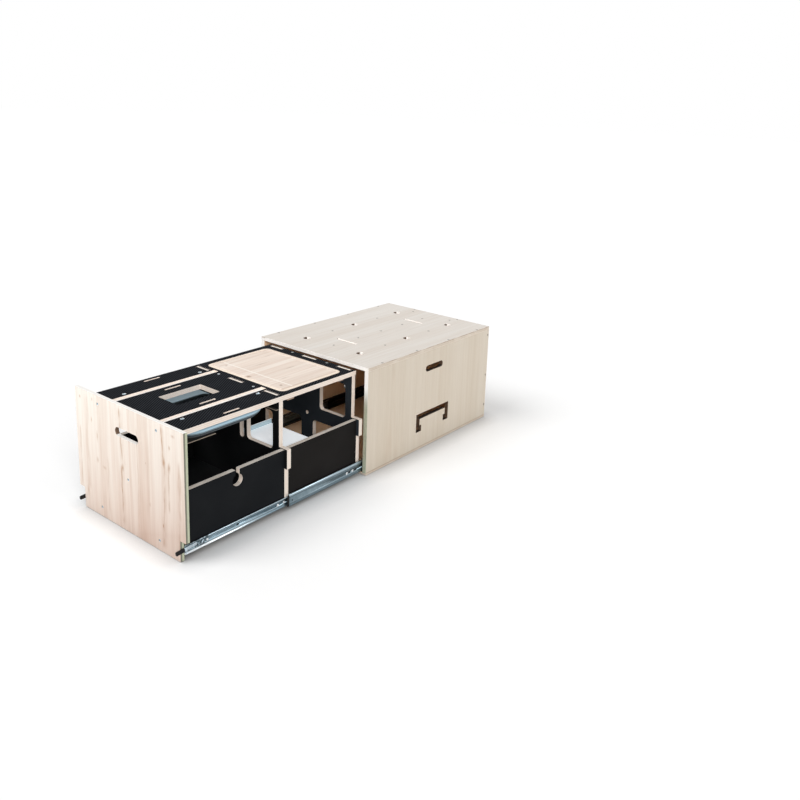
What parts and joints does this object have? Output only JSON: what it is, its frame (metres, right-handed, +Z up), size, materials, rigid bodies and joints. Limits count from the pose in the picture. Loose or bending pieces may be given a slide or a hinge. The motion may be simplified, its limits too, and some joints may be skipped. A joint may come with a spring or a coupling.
{
  "type": "camper conversion kit",
  "caption": "Plywood camping case with a kitchen drawer pulled out on telescopic slides, its worktop, cutting board and folding wash basin.",
  "frame": {"origin": "on the floor under the middle of the kit with its drawer pulled out", "axes": "+X to the right of someone facing the front panel, +Y from the front panel to the back of the case, +Z up"},
  "size_m": [0.5, 1.416, 0.367],
  "materials": {
    "plywood": "clear-lacquered birch plywood, satin",
    "black_board": "black film-faced plywood with bare light edges",
    "batten_wood": "planed bare wood",
    "cutting_wood": "oiled solid wood",
    "slide_steel": "bright zinc",
    "cage_steel": "plain steel",
    "fastener_steel": "bright zinc",
    "lever_steel": "bright zinc",
    "black_plastic": "satin moulded plastic",
    "shelf_white": "white laminate, satin",
    "basin_blue": "satin moulded plastic",
    "basin_grey": "matt soft rubber"
  },
  "bodies": {
    "case": {"case_base": "plywood", "case_side_left": "plywood", "case_side_right": "plywood", "case_top": "plywood", "case_back": "plywood", "slide_outer_left": "slide_steel", "slide_outer_right": "slide_steel"},
    "drawer": {"front_panel": "plywood", "front_divider": "black_board", "mid_divider": "black_board", "rear_divider": "black_board", "side_board_front_left": "black_board", "side_board_front_right": "black_board", "side_board_rear_left": "black_board", "side_board_rear_right": "black_board", "drawer_floor": "black_board", "worktop": "black_board", "shelf": "shelf_white", "board_batten_front": "batten_wood", "board_batten_rear": "batten_wood", "basin_ledge_front": "batten_wood", "basin_ledge_rear": "batten_wood", "slide_inner_left": "slide_steel", "slide_inner_right": "slide_steel", "lock_pin_left": "lever_steel", "lock_pin_right": "lever_steel", "panel_screw_high_left": "fastener_steel", "panel_screw_high_right": "fastener_steel", "panel_screw_low_left": "fastener_steel", "panel_screw_low_right": "fastener_steel", "panel_screw_middle": "fastener_steel", "worktop_screw_mid_left": "fastener_steel", "worktop_screw_mid_right": "fastener_steel", "worktop_screw_rear_left": "fastener_steel", "worktop_screw_rear_right": "fastener_steel", "worktop_insert_front_left": "fastener_steel", "worktop_insert_front_right": "fastener_steel", "worktop_insert_rear_left": "fastener_steel", "worktop_insert_rear_right": "fastener_steel"},
    "cutting_board": {"cutting_board": "cutting_wood"},
    "wash_basin": {"basin_rim": "basin_blue", "basin_bowl": "basin_grey"},
    "slide_middle_left": {"slide_middle_left": "slide_steel", "slide_bumper_left": "black_plastic"},
    "outer_cage_left": {"ball_cage_outer_left": "cage_steel"},
    "inner_cage_left": {"ball_cage_inner_left": "cage_steel"},
    "lock_left": {"lock_lever_left": "lever_steel", "lock_sleeve_left": "black_plastic"},
    "slide_middle_right": {"slide_middle_right": "slide_steel", "slide_bumper_right": "black_plastic"},
    "outer_cage_right": {"ball_cage_outer_right": "cage_steel"},
    "inner_cage_right": {"ball_cage_inner_right": "cage_steel"},
    "lock_right": {"lock_lever_right": "lever_steel", "lock_sleeve_right": "black_plastic"}
  },
  "joints": [
    {"name": "drawer_slide", "type": "slide", "parent": "case", "child": "drawer", "axis": [0, -1, 0], "range_m": [-0.687, 0]},
    {"name": "cutting_board_lift", "type": "slide", "parent": "drawer", "child": "cutting_board", "axis": [0, 0, 1], "range_m": [0, 0.12]},
    {"name": "wash_basin_slide", "type": "slide", "parent": "drawer", "child": "wash_basin", "axis": [1, 0, 0], "range_m": [0, 0.3]},
    {"name": "slide_middle_left_slide", "type": "slide", "parent": "case", "child": "slide_middle_left", "axis": [0, -1, 0], "range_m": [-0.3436, 0]},
    {"name": "outer_cage_left_slide", "type": "slide", "parent": "case", "child": "outer_cage_left", "axis": [0, -1, 0], "range_m": [-0.1718, 0]},
    {"name": "inner_cage_left_slide", "type": "slide", "parent": "slide_middle_left", "child": "inner_cage_left", "axis": [0, -1, 0], "range_m": [-0.1718, 0]},
    {"name": "lock_left_tilt", "type": "hinge", "parent": "drawer", "child": "lock_left", "pos_m": [-0.2275, -0.652, 0.03505], "axis": [1, 0, 0], "range_deg": [0, 12], "stiffness_Nm_per_rad": 1},
    {"name": "slide_middle_right_slide", "type": "slide", "parent": "case", "child": "slide_middle_right", "axis": [0, -1, 0], "range_m": [-0.3436, 0]},
    {"name": "outer_cage_right_slide", "type": "slide", "parent": "case", "child": "outer_cage_right", "axis": [0, -1, 0], "range_m": [-0.1718, 0]},
    {"name": "inner_cage_right_slide", "type": "slide", "parent": "slide_middle_right", "child": "inner_cage_right", "axis": [0, -1, 0], "range_m": [-0.1718, 0]},
    {"name": "lock_right_tilt", "type": "hinge", "parent": "drawer", "child": "lock_right", "pos_m": [0.2275, -0.652, 0.03505], "axis": [1, 0, 0], "range_deg": [0, 12], "stiffness_Nm_per_rad": 1}
  ],
  "couplings": [
    {"joint": "slide_middle_left_slide", "follows": "drawer_slide", "ratio": 0.5},
    {"joint": "outer_cage_left_slide", "follows": "drawer_slide", "ratio": 0.25},
    {"joint": "inner_cage_left_slide", "follows": "drawer_slide", "ratio": 0.25},
    {"joint": "slide_middle_right_slide", "follows": "drawer_slide", "ratio": 0.5},
    {"joint": "outer_cage_right_slide", "follows": "drawer_slide", "ratio": 0.25},
    {"joint": "inner_cage_right_slide", "follows": "drawer_slide", "ratio": 0.25}
  ]
}
